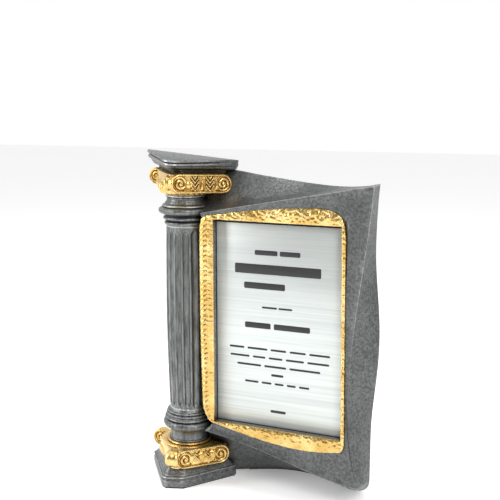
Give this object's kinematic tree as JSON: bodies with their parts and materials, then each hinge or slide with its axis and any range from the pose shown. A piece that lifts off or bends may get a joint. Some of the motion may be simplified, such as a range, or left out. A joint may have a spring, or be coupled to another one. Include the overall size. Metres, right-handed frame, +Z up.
{
  "type": "column trophy",
  "caption": "Free-standing award: fluted column with gilded scroll capital and base beside a swept sail-shaped panel holding a gilded bezel and a flat engraving plate.",
  "frame": {"origin": "middle of the trophy's bounding box at floor level, under the felt pads", "axes": "+Z up along the column; -Y is the front, which the name plate faces; +X runs from the column to the panel's free edge"},
  "size_m": [0.1569, 0.0636, 0.214],
  "materials": {
    "antique_silver_resin": "antique pewter paint over cast resin, dark in the hollows and rubbed bright on the edges",
    "antique_gold": "gold paint over cast relief, toned brown in the hollows",
    "brushed_plate": "fine horizontal brushing",
    "print_ink": "matt black print",
    "foam_tape": "white adhesive foam",
    "zinc_steel": "zinc plated",
    "insert_brass": "turned brass",
    "black_felt": "self-adhesive felt"
  },
  "bodies": {
    "root": {"plinth": "antique_silver_resin", "base_scroll_block": "antique_gold", "base_collar": "antique_silver_resin", "fluted_shaft": "antique_silver_resin", "neck_collar": "antique_silver_resin", "capital_scroll_block": "antique_gold", "abacus": "antique_silver_resin", "sail_panel": "antique_silver_resin", "gold_bezel": "antique_gold", "name_plate": "brushed_plate", "plate_print": "print_ink", "plate_tape": "foam_tape", "tie_rod": "zinc_steel", "tie_rod_nut": "zinc_steel", "tie_rod_washer": "zinc_steel", "abacus_insert": "insert_brass", "panel_dowels": "zinc_steel", "plinth_felt": "black_felt", "foot_felt": "black_felt"}
  },
  "joints": []
}
